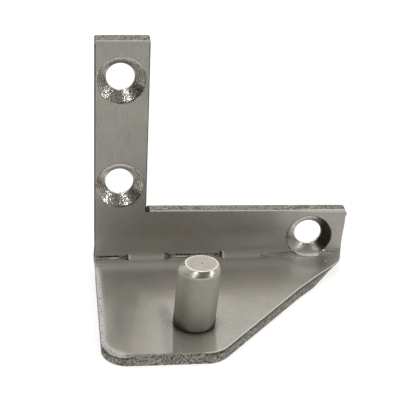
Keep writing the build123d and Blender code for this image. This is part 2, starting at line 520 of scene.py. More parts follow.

# Wear of the sheet, and light painted on it: shares of bare metal and painted sheen, of painted shade, and of
# painted shade with residue. Distances across are from the left edge, and those along are from the bend line,
# so they are negative on the shelf. A band has its middle and its reach, and a fade its start and end.
wear = {
    "edgeResidue": 0.72,            # painted shade along the strip's long edges
    "residueClear": 1.0,            # none at both ends
    "residueStart": 13.2,
    "residueSideways": 0.9,
    # painted shade in the notch beside the strip
    "notchResidue": 0.97,
    "notchFade": (0.55, 0.85),
    "shadowLine": 0.55,             # painted shadow just below the upper edge of the diagonal
    "shadowEnd": -4.0,
    "dressedFrom": 0.3,             # share of dressing that counts as dressed
    "dressedLine": 0.85,            # painted shade along the lower side of the dressed edge
    "dressedLineTurn": (0.6, 0.98),
    "brightEdge": 0.8,              # painted highlight along sharp edges, which also rub bare against things
    "brightReach": 0.3,
    "brightDiagonalEnd": -2.5,
    "oval": (-0.5, -2.5),           # middle of the oval of painted shade below the leg's hole
    "ovalReach": (5.5, 4.5),
    "burnish": 0.52,                # painted sheen: a bright band on the shelf along the fold, outside the oval
    "burnishBand": (-1.9, 2.6),
    "burnishOutside": (0.6, 1.4),
    "burnishDrop": 0.45,
    "burnishFade": (20.0, 30.0),
    "wipe": 0.15,                   # and a fainter painted sheen low on the leg
    "wipeBand": (4.4, 1.8),
    "wipeAcross": ((26.0, 34.0), (47.0, 52.0)),
    "legFilm": 0.16,                # painted shade low on the upright, more towards the right
    "legFilmMore": 0.13,
    "legFilmMoreFade": (28.0, 36.0),
    "legFilmAlong": ((5.5, 8.5), (14.0, 20.0)),
    "legFilmEnd": (42.0, 48.0),
    "ovalFilm": 0.5,
    "ovalFilmFade": (0.3, 1.0),
    "pinFilm": 0.4,                 # painted shade and reflection of the pin, with some residue, in a strip to its left
    "pinFilmBand": (-6.2, 1.3),
    "pinFilmFade": (-24.0, -18.0),
    "leftFilm": 0.42,               # painted shade in a patch behind the dressed edge
    "leftFilmAcross": (4.2, 1.7),
    "leftFilmAlong": (2.5, 7.0),    # from the pin's axis
    "footResidue": (0.42, 0.18),    # painted contact shade with some residue round the pin's foot, and more at its sides
    "footReach": 1.5,
    "pittedWidth": 10.0,            # the dressed edge's uneven facets
    "pittedSide": (2.0, -2.0, -7.0),  # width of the left edge, and where they start on it and beside it
}

left = plateLow.x / mm
thickness = -plateLow.z / mm
frontFace = plateHigh.y / mm - thickness
bendLine = frontFace - bracket["insideBendRadius"]
bendArc = bracket["insideBendRadius"] * math.pi / 2
blankFront = plateLow.y / mm - bendLine
stripTop = plateHigh.z / mm
firstWall = len(bracket["besideEdge"]) + bracket["roundRows"]
pinRadius = mounts["door_pin"]["dims"]["r_mm"]
footShift = 0.7                     # the pin leans, so its foot stands this far to the left of its axis


def blankHeight(height):
    # height above the shelf, as a distance along the blank
    return height - bracket["insideBendRadius"] + bendArc


def dividedOutline(corners, step):
    # corners are (x, y, radius), counterclockwise
    bends = []
    for i, (x, y, radius) in enumerate(corners):
        here = Vector((x, y))
        into = (here - Vector(corners[i - 1][:2])).normalized()
        out = (Vector(corners[(i + 1) % len(corners)][:2]) - here).normalized()
        turn = math.atan2(into.x * out.y - into.y * out.x, into.dot(out))
        if radius == 0 or abs(turn) < bracket["straight"]:
            bends.append([here])
            continue
        start = here - into * radius * math.tan(abs(turn) / 2)
        centre = start + Vector((-into.y, into.x)) * math.copysign(radius, turn)
        count = max(3, math.ceil(abs(turn) * radius / step), math.ceil(abs(turn) / bracket["largestTurn"]))
        bends.append([
            centre + Matrix.Rotation(turn * k / count, 2) @ (start - centre) for k in range(count + 1)
        ])
    outline = []
    for i, bend in enumerate(bends):
        outline += bend
        run = bends[(i + 1) % len(bends)][0] - bend[-1]
        count = max(1, round(run.length / step))
        outline += [bend[-1] + run * k / count for k in range(1, count)]
    return np.array(outline)


def blankOutline():
    corner = bracket["blankCornerRadius"]
    reliefX = left + bracket["stripWidthBelow"] + bracket["reliefInset"]
    reliefY = blankHeight(bracket["legTopAtStrip"] + bracket["reliefInset"])
    half = math.asin(bracket["reliefInset"] / bracket["reliefRadius"])
    first, last = 2 * math.pi - half, math.pi / 2 + half
    relief = []
    for k in range(bracket["reliefPoints"] + 1):
        turn = first + (last - first) * k / bracket["reliefPoints"]
        x = reliefX + bracket["reliefRadius"] * math.cos(turn)
        relief.append((x, reliefY + bracket["reliefRadius"] * math.sin(turn), 0.0))
    return dividedOutline([
        (left, blankFront, bracket["frontCornerRadius"]),
        (left + bracket["frontEdgeLength"], blankFront, bracket["frontCornerRadius"]),
        *[(left + x, y, radius) for x, y, radius in bracket["cornerBulge"]],
        (plateHigh.x / mm, blankHeight(bracket["legTopAtEnd"]), corner),
        *relief,
        (left + bracket["stripWidthAbove"], blankHeight(stripTop), corner),
        (left, blankHeight(stripTop), corner),
    ], bracket["edgeStep"])


def edgeRounding(x, y):
    # how far the upper edge is rounded, and the share of it that is the dressing
    inFront = y < blankFront + bracket["frontCornerRadius"]
    side = smoothStep(*bracket["dressedSide"], y) * (x < bracket["leftReach"])
    front = (1.0 - smoothStep(*bracket["dressedFront"], x)) * inFront
    dressed = np.where(inFront, front, side)
    legEdge = smoothStep(*bracket["groundLegFade"], x) * (y > blankHeight(bracket["legTopAtEnd"] - 0.6))
    rounding = bracket["edgeRound"] + dressed * (bracket["dressedRound"] - bracket["edgeRound"])
    return rounding + legEdge * (bracket["groundLegEdge"] - bracket["edgeRound"]), dressed


def brightEdge(x, y):
    # painted highlight on bare metal along both tops and the diagonal
    diagonal = (x > bracket["diagonalStart"]) & (y < wear["brightDiagonalEnd"])
    onStripTop = y > blankHeight(stripTop) - wear["brightReach"]
    onLegTop = (x > bracket["legStart"]) & (y > blankHeight(bracket["legTopAtEnd"]) - wear["brightReach"])
    return wear["brightEdge"] * (diagonal | onStripTop | onLegTop)


# Scored marks on the fold's inside. Each has its start and end from the left, the line's place along
# the blank at both, its half width at both, how deep it was cut, how far its ends fade, the half length
# of the cross mark that ends it on either side, the stretches with a painted glint on bare metal, and those
# where the painted shade along it is darkest
scores = (
    {"span": (0.0, 8.0), "line": (1.45, 1.5), "half": (0.42, 0.5), "depth": 0.30, "fade": (0.6, 0.3),
     "cross": (0.0, 0.85), "bare": ((3.4, 5.6),), "dark": ((-1.0, 6.2),)},
    {"span": (17.2, 31.1), "line": (1.55, 1.65), "half": (0.45, 0.42), "depth": 0.30, "fade": (0.8, 0.6),
     "cross": (1.3, 0.95), "bare": ((17.9, 18.9), (19.6, 22.7), (29.6, 30.3)), "dark": ((19.4, 24.0),)},
    {"span": (41.0, 50.2), "line": (0.95, 1.8), "half": (0.5, 0.35), "depth": 0.20, "fade": (2.0, 0.5),
     "cross": (0.9, 0.0), "bare": (), "dark": ((45.0, 50.0),)},
    {"span": (55.5, 60.6), "line": (1.65, 1.35), "half": (0.35, 0.35), "depth": 0.18, "fade": (0.5, 1.5),
     "cross": (0.0, 0.0), "bare": ((55.8, 59.5),), "dark": ()},
)
scoreWear = {
    "deepest": 0.30,                # a score this deep has all of the wear and painted light below
    "shine": (-0.15, 0.35),         # bands across a score, in shares of its half width: the painted glint, then the painted shade lines
    "shineFade": 0.3,
    "upperLine": (0.75, 0.4),
    "lowerLine": (-0.9, 0.3),
    "lowerLineShare": 0.6,
    "emptyShare": 0.5,              # painted shade of the lines left in the stretches that aren't dark
    "darkFade": 0.8,
    "crossHalfWidth": 0.32,
    "crossDepth": 0.22,
    "crossDirt": (0.35, 0.9),       # at a score's start and at its end
    "ridge": (-0.5, 0.18),
    "ridgeBare": 0.8,
    "flareLength": 2.2,
    "flareNarrowing": 0.7,
    "flareDepth": 0.1,
    "flareDirt": 0.58,
}


def inStretches(x, stretches, fade):
    # one inside the stretches, fading to nothing at their ends
    share = np.zeros_like(x)
    for start, end in stretches:
        share = np.maximum(share, smoothStep(0.0, fade, x - start) * smoothStep(0.0, fade, end - x))
    return share


def scored(x, y):
    # how far the face lies below its plane, how much bare metal and painted glint shows there, and how much
    # painted shade and residue
    x = x - left
    depth, bare, shadeAndDirt = np.zeros_like(x), np.zeros_like(x), np.zeros_like(x)
    for score in scores:
        (start, end), (lineStart, lineEnd) = score["span"], score["line"]
        share = np.clip((x - start) / (end - start), 0.0, 1.0)
        half = score["half"][0] + (score["half"][1] - score["half"][0]) * share
        off = (y - (lineStart + (lineEnd - lineStart) * share)) / half
        strength = score["depth"] / scoreWear["deepest"]
        inside = (x > start) & (x < end)
        taper = smoothStep(0.0, score["fade"][0], x - start) * smoothStep(0.0, score["fade"][1], end - x)
        groove = np.clip(1.0 - off ** 2, 0.0, None) * taper * inside
        depth = np.maximum(depth, score["depth"] * groove)
        shine = inStretches(x, score["bare"], scoreWear["shineFade"]) * bell(off, *scoreWear["shine"])
        darkest = inStretches(x, score["dark"], scoreWear["darkFade"])
        shadeFill = scoreWear["emptyShare"] + (1.0 - scoreWear["emptyShare"]) * darkest
        # painted shade along the groove's upper and lower sides, and a painted glint in its middle
        lowerLine = scoreWear["lowerLineShare"] * bell(off, *scoreWear["lowerLine"])
        lines = bell(off, *scoreWear["upperLine"]) + lowerLine
        bare = np.maximum(bare, shine * strength)
        shadeAndDirt = np.maximum(shadeAndDirt, lines * (1.0 - shine) * np.sqrt(taper) * inside * strength * shadeFill)
        for atEnd, (reach, at, line) in enumerate(zip(score["cross"], (start, end), (lineStart, lineEnd))):
            if not reach:
                continue
            within, off = (x - at) * (-1.0 if atEnd else 1.0), y - line
            cross = np.clip(1.0 - (within / scoreWear["crossHalfWidth"]) ** 2, 0.0, None)
            cross = cross * np.clip(1.0 - (off / reach) ** 4, 0.0, None)
            depth = np.maximum(depth, scoreWear["crossDepth"] * strength * cross)
            shadeAndDirt = np.maximum(shadeAndDirt, strength * cross ** 0.5 * scoreWear["crossDirt"][atEnd])
            ridge = bell(within, *scoreWear["ridge"]) * (np.abs(off) < reach) * atEnd
            bare = np.maximum(bare, scoreWear["ridgeBare"] * strength * ridge)
            outwards = within / scoreWear["flareLength"]
            narrowing = reach * (1.0 - scoreWear["flareNarrowing"] * np.clip(outwards, 0.0, 1.0))
            flare = (within > 0) * (1.0 - smoothStep(0.5, 1.0, outwards))
            flare = flare * np.clip(1.0 - (off / narrowing) ** 2, 0.0, None)
            depth = np.maximum(depth, scoreWear["flareDepth"] * strength * flare)
            shadeAndDirt = np.maximum(shadeAndDirt, scoreWear["flareDirt"] * strength * flare ** 0.5)
    return depth, bare, shadeAndDirt


def boltHoles():
    # the three screw holes and the pin's, with the shares of wear and painted shade in each
    screw, bolts = mounts["leg_screw_hole"], mounts["strip_screw_holes"]
    stripX, stripMiddle = bolts["pos_m"][0] / mm, bolts["pos_m"][2] / mm
    reach = bolts["dims"]["spacing_y_mm"] / 2
    sunk = {"wide": bracket["sinkRadius"], "bore": screw["dims"]["r_mm"], "fromBelow": False}
    inStrip = {**sunk, "chatter": 1.0, "rimSide": (0.8, -0.6), "shade": 0.0, "rubbed": False}
    return (
        {"at": (stripX, blankHeight(stripMiddle - reach)), **inStrip},
        {"at": (stripX, blankHeight(stripMiddle + reach)), **inStrip},
        {"at": (screw["pos_m"][0] / mm, blankHeight(screw["pos_m"][2] / mm)), **sunk,
         "chatter": 0.4, "rimSide": (-0.9, -0.4), "shade": 0.88, "rubbed": True},
        {"at": (0.0, -bendLine), "wide": bracket["rivetHeadRadius"], "bore": bracket["spigotHoleRadius"],
         "fromBelow": True, "chatter": 0.2, "rimSide": (0.0, 0.0), "shade": 0.0, "rubbed": False},
    )


def holeProfile(hole):
    # (radius, depth) rows from the upper face down, with the sharp edges taken off
    soft, margin = bracket["holeSoftness"], bracket["boreMargin"]
    wide, bore = hole["wide"], hole["bore"]
    sunk = wide - bore
    cone = [(wide - soft / 2 - (sunk - soft) * k / 9, soft / 2 + (sunk - soft) * k / 9) for k in range(10)]
    if hole["fromBelow"]:
        rows = [(bore + margin, 0.0), (bore + soft, 0.0), (bore + soft * 0.3, soft * 0.3), (bore, soft)]
        wall = thickness - sunk - soft
        rows += [(bore, soft + (wall - soft) * k / 3) for k in range(1, 4)]
        rows += [(r, thickness - d) for r, d in reversed(cone)]
        return rows + [(wide + soft, thickness), (wide + margin, thickness)]
    rows = [(wide + bracket["sinkMargin"], 0.0), (wide + soft * 0.6, 0.0), *cone]
    wall = thickness - soft
    rows += [(bore, sunk + 0.02 + (wall - sunk - 0.02) * k / 3) for k in range(4)]
    rows += [(bore + soft * 0.3, thickness - soft * 0.3), (bore + soft, thickness)]
    return rows + [(bore + margin, thickness)]


def insideOutline(points, outline):
    ahead = np.roll(outline, -1, axis=0)
    crossed = np.zeros(len(points), bool)
    for (ax, ay), (bx, by) in zip(outline, ahead):
        if ay == by:
            continue
        beside = (ay > points[:, 1]) != (by > points[:, 1])
        crossed ^= beside & (points[:, 0] < (bx - ax) * (points[:, 1] - ay) / (by - ay) + ax)
    return crossed


def nearest(points, others):
    return np.array([np.min(np.hypot(*(others - p).T)) for p in points])


def fillFace(outline, rings, extra):
    # triangles between the outline and the rings, through the extra points
    loops = [outline, *rings]
    border = np.concatenate(loops)
    extra = extra[insideOutline(extra, outline)]
    for ring in rings:
        middle = ring.mean(axis=0)
        radius = np.hypot(*(ring[0] - middle))
        extra = extra[np.hypot(*(extra - middle).T) > radius + bracket["holeClearance"]]
    extra = extra[nearest(extra, border) > bracket["edgeClearance"]]
    edges, start = [], 0
    for loop in loops:
        edges += [(start + k, start + (k + 1) % len(loop)) for k in range(len(loop))]
        start += len(loop)
    points = [Vector(p) for p in np.concatenate([border, extra])]
    _, _, faces, source, _, _ = delaunay_2d_cdt(points, edges, [], 1, 1e-7)
    owner = np.repeat(range(len(loops) + 1), [*map(len, loops), len(extra)])
    kept = []
    for face in faces:
        corners = [source[v][0] for v in face]
        owners = set(owner[corners])
        # a triangle with all three corners on one ring covers the hole, and is left out
        if len(owners) > 1 or owners & {0, len(loops)}:
            kept.append(corners)
    return extra, kept


finishes = ("Sheet", "Sheared edge", "Countersink")
sheetFace, shearedFace, sinkFace = range(len(finishes))
pointShares = ("wallShare", "chatter", "fromAxis", "grime", "freshMetal", "along")


def addPoints(blank, places, outward, **shares):
    # a share that isn't given is zero on these points
    blank["places"].append(places)
    blank["outward"].append(np.column_stack([outward, np.zeros(len(places))]))
    for name in pointShares:
        blank[name].append(np.zeros(len(places)) + shares.get(name, 0.0))


def addBand(blank, start, count, finish):
    # quads between the row of points at start and the row after it
    for k in range(count):
        n = (k + 1) % count
        blank["faces"].append((start + k, start + n, start + count + n, start + count + k))
        blank["finish"].append(finish)


def edgeShifts(x, y, up):
    # how far the inner and the outer face stand out past the outline, from folding and shearing
    middle, atLeft = bendArc / 2, x < bracket["leftReach"]
    inner = bracket["innerBulge"] * bell(y, middle, bracket["innerBulgeReach"]) * atLeft
    outer = -bracket["outerDrawIn"] * bell(y, middle, bracket["outerDrawInReach"]) * atLeft
    onStripTop = (y > blankHeight(stripTop) - bracket["topReach"]) * (up > 0)
    onLegTop = y > blankHeight(bracket["legTopAtEnd"]) - bracket["topReach"]
    onLegTop = onLegTop * (y < blankHeight(bracket["legTopLimit"])) * (x > bracket["legTopStart"])
    inner -= bracket["stripTopSlant"][0] * onStripTop * up - bracket["legTopSlant"][0] * onLegTop
    outer += bracket["stripTopSlant"][1] * onStripTop * up
    outer += bracket["legTopSlant"][1] * onLegTop * np.clip(up, 0.0, 1.0)
    burr = bell(y, blankHeight(bracket["burrHeight"]), bracket["burrReach"]) * (x > bracket["legEndStart"])
    inner += bracket["burr"] * burr
    tipX, tipY = bracket["cornerBulge"][3][:2]
    reach = np.where(y < tipY, *bracket["cornerDrawInReach"])
    nearTip = np.clip(1.0 - np.hypot(x - tipX, y - tipY) / reach, 0.0, None) ** 1.2
    atRight = (x > bracket["rightStart"]) & (y < blankHeight(bracket["drawInTop"]))
    outer -= bracket["cornerDrawIn"] * nearTip * atRight
    return inner, outer


def edgeRows(x, rounding, dressed, bright):
    # rows round the edge from the upper face down: inset, depth, share of bare metal and painted highlight,
    # share of the torn wall
    below = bracket["edgeRound"]
    wallTop = rounding * (1.0 - bracket["dressedShallow"] * dressed)
    wallEnd = thickness - below
    rows = [
        (rounding + inset + more * dressed, 0 * x, bare * dressed, 0)
        for inset, more, bare in bracket["besideEdge"]
    ]
    for k in range(bracket["roundRows"] + 1):
        angle = k / bracket["roundRows"] * math.pi / 2
        bareAndSheen = np.maximum(dressed * (0.2 + 0.8 * k / bracket["roundRows"]), bright)
        rows.append((rounding * (1 - math.sin(angle)), wallTop * (1 - math.cos(angle)), bareAndSheen, 0))
    for k in range(1, bracket["wallRows"]):
        share = k / bracket["wallRows"]
        bareAndSheen = dressed * max(0.0, 0.3 - 2 * share)
        rows.append((0 * x, wallTop + (wallEnd - wallTop) * share, bareAndSheen, 1))
    for k in range(bracket["lowerRoundRows"] + 1):
        angle = k / bracket["lowerRoundRows"] * math.pi / 2
        inset, depth = below * (1 - math.cos(angle)), wallEnd + below * math.sin(angle)
        rows.append((0 * x + inset, 0 * x + depth, 0 * x, 0))
    rows.append((0 * x + below + bracket["lowerMargin"], 0 * x + thickness, 0 * x, 0))
    return rows


def edgeShade(x, y, outward, dressed, count):
    # painted shade on each row: in the notch, along the strip's edges and under the upper edge
    notch = np.hypot(
        x - bracket["stripWidthBelow"] - bracket["reliefInset"],
        y - blankHeight(bracket["legTopAtStrip"]) - bracket["reliefInset"],
    )
    shadeFill = wear["notchResidue"] * (1.0 - smoothStep(*wear["notchFade"], notch))
    clear, sideways = wear["residueClear"], wear["residueSideways"]
    strip = (y < blankHeight(stripTop - clear)) & ((x < 0.05) | (y > blankHeight(wear["residueStart"])))
    residue = wear["edgeResidue"] * (strip & (y > blankHeight(clear)) & (np.abs(outward[:, 0]) > sideways))
    residue = np.maximum(residue, shadeFill)
    shadeRows = [0 * x] + [residue] * (firstWall + 1) + [shadeFill] * (count - firstWall - 2)
    isDressed = dressed > wear["dressedFrom"]
    shadowUnderEdge = wear["shadowLine"] * (((x > bracket["diagonalStart"]) & (y < wear["shadowEnd"])) | isDressed)
    turned = smoothStep(*wear["dressedLineTurn"], -outward[:, 0])
    shadeUnderDressing = wear["dressedLine"] * isDressed * turned
    for line, first, last in ((shadowUnderEdge, 1, 3), (shadeUnderDressing, -1, 4)):
        for r in range(firstWall + first, firstWall + last):
            shadeRows[r] = np.maximum(shadeRows[r], line)
    return shadeRows


def addEdge(blank, outline):
    tangent = np.roll(outline, -1, axis=0) - np.roll(outline, 1, axis=0)
    tangent /= np.hypot(*tangent.T)[:, None]
    outward = np.stack([tangent[:, 1], -tangent[:, 0]], axis=1)
    reach = bracket["easedPoints"]
    wrapped = np.concatenate([outward[-reach:], outward, outward[:reach]])
    window = np.ones(2 * reach + 1) / (2 * reach + 1)
    eased = np.column_stack([np.convolve(wrapped[:, c], window, "valid") for c in (0, 1)])
    eased /= np.hypot(*eased.T)[:, None]
    travelled = np.cumsum(np.hypot(*(np.roll(outline, -1, axis=0) - outline).T))
    travelled = np.concatenate([[0], travelled[:-1]])
    x, y = outline[:, 0] - left, outline[:, 1]
    rounding, dressed = edgeRounding(x, y)
    innerShift, outerShift = edgeShifts(x, y, outward[:, 1])
    rows = edgeRows(x, rounding, dressed, brightEdge(x, y))
    shadeRows = edgeShade(x, y, outward, dressed, len(rows))
    for r, (inset, depth, bareAndSheen, wall) in enumerate(rows):
        lean = (depth / thickness) ** 1.2
        flat = outline + outward * (innerShift * (1 - lean) - inset)[:, None]
        flat += eased * (outerShift * lean)[:, None]
        addPoints(
            blank, np.column_stack([flat, -depth]), outward,
            wallShare=wall, freshMetal=bareAndSheen, grime=shadeRows[r], along=travelled,
        )
        if r < len(rows) - 1:
            torn = firstWall <= r < len(rows) - 2
            addBand(blank, r * len(outline), len(outline), shearedFace if torn else sheetFace)
    return len(rows) * len(outline)


def carriedRound(flat, depth, hole, radius):
    # the leg's countersink was made before the fold, so its lower side is carried round in the bend
    bend = bracket["insideBendRadius"]
    height = flat[:, 1] - bendArc + bend
    swung = bend * np.arctan2(depth + bend, bend - height)
    share = np.clip((hole["wide"] - radius) / (hole["wide"] - hole["bore"]), 0.0, 1.0)
    return np.where(height < bend, (swung - flat[:, 1]) * share, 0.0)


# Wear and painted shade in the holes. A side is where a share starts and where it is full, as the sine of the
# turn from level.
holeWear = {
    "upperSide": (0.3, 0.95),
    "lowerSide": (0.1, -0.8),
    "rimSide": (0.2, 0.6),
    "shadeSide": (0.25, 0.6),
    "shadeTowards": (0.98, 0.17),
    "rubbedShade": 0.28,            # on the upper half of the leg's countersink
    "rubbedSide": (-0.3, 0.3),
    # painted shade in a crescent inside the top of each bore
    "residue": 0.9,
    "residueReach": (0.7, 2.1),     # from the bore
    # darker arc along one side of each rim
    "rimResidue": 0.7,
    "rimReach": 0.12,
    "coneMargin": 0.05,
}


def addHole(blank, hole, start):
    turn = np.arange(bracket["holePoints"]) * 2 * math.pi / bracket["holePoints"]
    ring = np.column_stack([np.cos(turn), np.sin(turn)])
    profile = holeProfile(hole)
    centre = np.array(hole["at"])
    upwards = smoothStep(*holeWear["upperSide"], ring[:, 1])
    downwards = smoothStep(*holeWear["lowerSide"], ring[:, 1])
    rimSide = smoothStep(*holeWear["rimSide"], ring @ hole["rimSide"])
    shaded = hole["shade"] * smoothStep(*holeWear["shadeSide"], ring @ holeWear["shadeTowards"])
    rubbedShade = holeWear["rubbedShade"] * smoothStep(*holeWear["rubbedSide"], ring[:, 1])
    coneStart, coneEnd = hole["bore"] + holeWear["coneMargin"], hole["wide"] - holeWear["coneMargin"]
    for r, (radius, depth) in enumerate(profile):
        flat = centre + ring * radius
        if centre[1] - hole["wide"] < bendArc < centre[1]:
            flat[:, 1] += carriedRound(flat, depth, hole, radius)
        inCone = coneStart < radius < coneEnd
        # painted shade inside the top of the bore and in the leg's countersink, and a darker arc along one
        # side of the rim
        inside = 1.0 - smoothStep(*holeWear["residueReach"], radius - hole["bore"])
        rim = holeWear["rimResidue"] * bell(radius, hole["wide"], holeWear["rimReach"]) * rimSide
        shade = np.maximum(shaded * inCone, rubbedShade * inCone * hole["rubbed"])
        residue = np.maximum(holeWear["residue"] * upwards * inside * (depth > 0.1), rim)
        addPoints(
            blank, np.column_stack([flat, 0 * turn - depth]), -ring,
            chatter=downwards * hole["chatter"] * inCone, fromAxis=radius, grime=np.maximum(residue, shade),
            freshMetal=downwards * inCone * hole["rubbed"], along=turn * radius,
        )
        if r:
            cut = 2 <= r < len(profile) - 1
            addBand(blank, start + (r - 1) * len(turn), len(turn), sinkFace if cut else sheetFace)
    end = start + len(profile) * len(turn)
    blank["upperRings"].append((start, centre + ring * profile[0][0]))
    blank["lowerRings"].append((end - len(turn), centre + ring * profile[-1][0]))
    return end


def addFace(blank, rowStart, border, upper):
    step = bracket["faceSpacing"]
    starts, rings = zip(*blank["upperRings" if upper else "lowerRings"])
    low, high = border.min(axis=0), border.max(axis=0)
    gridUp = np.arange(low[1], high[1], step * bracket["rowSpacing"])
    across, up = np.meshgrid(np.arange(low[0], high[0], step), gridUp)
    across = across + (np.arange(len(up)) % 2)[:, None] * step / 2
    grid = np.column_stack([across.ravel(), up.ravel()])
    margin = bracket["foldMargin"]
    inFold = (grid[:, 1] > -margin) & (grid[:, 1] < bendArc + margin)
    foldUp = np.arange(-2, bracket["foldRows"] + 3) * (bendArc / bracket["foldRows"])
    foldAcross = np.arange(low[0] + bracket["foldInset"], high[0], bracket["foldAcross"][0 if upper else 1])
    fold = np.array([(a, u) for u in foldUp for a in foldAcross])
    extra, triangles = fillFace(border, rings, np.concatenate([grid[~inFold], fold]))
    ids = [rowStart + k for k in range(len(border))]
    for first in starts:
        ids += [first + k for k in range(bracket["holePoints"])]
    pointCount = sum(map(len, blank["places"]))
    ids += [pointCount + k for k in range(len(extra))]
    level = np.full(len(extra), 0.0 if upper else -thickness)
    addPoints(blank, np.column_stack([extra, level]), np.zeros((len(extra), 2)))
    for corners in triangles:
        face = [ids[c] for c in corners]
        blank["faces"].append(face if upper else face[::-1])
        blank["finish"].append(sheetFace)


def wearFace(places, shares, legHole):
    # cuts the scores and adds the wear, painted sheen and painted shade of the upper face to the shares
    onTop = places[:, 2] > -bracket["topSkin"]
    fromLeft, y = places[:, 0] - left, places[:, 1]
    depth, bare, shadeAndDirt = scored(places[:, 0], y)
    places[:, 2] -= depth * onTop
    fromHole = np.hypot(
        (places[:, 0] - legHole[0] - wear["oval"][0]) / wear["ovalReach"][0],
        (y - wear["oval"][1]) / wear["ovalReach"][1],
    )
    # painted sheen along the fold and low on the leg
    sheen = wear["burnish"] * bell(y, *wear["burnishBand"])
    sheen = sheen * smoothStep(*wear["burnishOutside"], fromHole)
    sheen = sheen * (1.0 - wear["burnishDrop"] * smoothStep(*wear["burnishFade"], fromLeft))
    lowSheen = wear["wipe"] * bell(y, *wear["wipeBand"]) * between(fromLeft, *wear["wipeAcross"])
    sheen = np.maximum(sheen, lowSheen) * (1.0 - shadeAndDirt)
    shares["freshMetal"] = np.maximum(shares["freshMetal"], np.maximum(bare, sheen) * onTop)

    # painted shade low on the leg, beside the pin, behind the dressed edge and below the leg's hole
    legFilm = wear["legFilm"] + wear["legFilmMore"] * smoothStep(*wear["legFilmMoreFade"], fromLeft)
    legFilm = between(y, *wear["legFilmAlong"]) * (1.0 - smoothStep(*wear["legFilmEnd"], fromLeft)) * legFilm
    acrossPin = places[:, 0] + footShift
    fromPin = np.hypot(acrossPin, y + bendLine)
    pinFilm = bell(acrossPin, *wear["pinFilmBand"]) * (1.0 - smoothStep(*wear["pinFilmFade"], y))
    leftFilm = bell(fromLeft, *wear["leftFilmAcross"]) * bell(y + bendLine, *wear["leftFilmAlong"])
    ovalFilm = 1.0 - smoothStep(*wear["ovalFilmFade"], fromHole)
    paintedShades = (legFilm, wear["pinFilm"] * pinFilm, wear["leftFilm"] * leftFilm, wear["ovalFilm"] * ovalFilm)
    shares["film"] = np.max(paintedShades, axis=0) * onTop

    # painted contact shade with some residue round the pin's foot
    around = np.abs(acrossPin) / np.maximum(fromPin, 0.1)
    foot = np.exp(-np.clip(fromPin - pinRadius, 0.0, None) / wear["footReach"])
    foot = foot * (wear["footResidue"][0] + wear["footResidue"][1] * around ** 2)
    shares["grime"] = np.clip(np.maximum(shares["grime"], np.maximum(shadeAndDirt, foot) * onTop), 0.0, 1.0)

    edgeWidth, edgeStart, cornerStart = wear["pittedSide"]
    behind = np.where(fromLeft < edgeWidth, edgeStart, cornerStart)
    shares["pitted"] = 1.0 * ((fromLeft < wear["pittedWidth"]) & (y < behind))


def faceOutwards(mesh, label):
    # turns every face outwards, and says whether the mesh is closed
    shape = bmesh.new()
    shape.from_mesh(mesh)
    bmesh.ops.recalc_face_normals(shape, faces=shape.faces)
    loose = sum(len(edge.link_faces) != 2 for edge in shape.edges)
    print(label, len(shape.faces), "faces,", loose, "open edges, volume", shape.calc_volume() / mm ** 3)
    shape.to_mesh(mesh)
    shape.free()


def makeBracket():
    parts = ("places", "faces", "finish", "upperRings", "lowerRings", "outward", *pointShares)
    blank = {name: [] for name in parts}
    outline = blankOutline()
    end = addEdge(blank, outline)
    border = {True: blank["places"][0][:, :2], False: blank["places"][-1][:, :2]}
    rowStart = {True: 0, False: end - len(outline)}
    holes = boltHoles()
    for hole in holes:
        end = addHole(blank, hole, end)
    for upper in (True, False):
        addFace(blank, rowStart[upper], border[upper], upper)

    places = np.concatenate(blank["places"])
    shares = {name: np.concatenate(blank[name]) for name in pointShares}
    wearFace(places, shares, holes[2]["at"])
    for name in ("fromAxis", "along"):
        shares[name] = shares[name] * mm
    mesh = bpy.data.meshes.new("foldedBracket")
    mesh.from_pydata(places * mm, [], blank["faces"])
    addAttribute(mesh, "outward", "FLOAT_VECTOR", "POINT", np.concatenate(blank["outward"]))
    for name, values in shares.items():
        addAttribute(mesh, name, "FLOAT", "POINT", values)
    addAttribute(mesh, "finish", "INT", "FACE", blank["finish"])
    faceOutwards(mesh, "blank:")
    return newObject("foldedBracket", mesh)


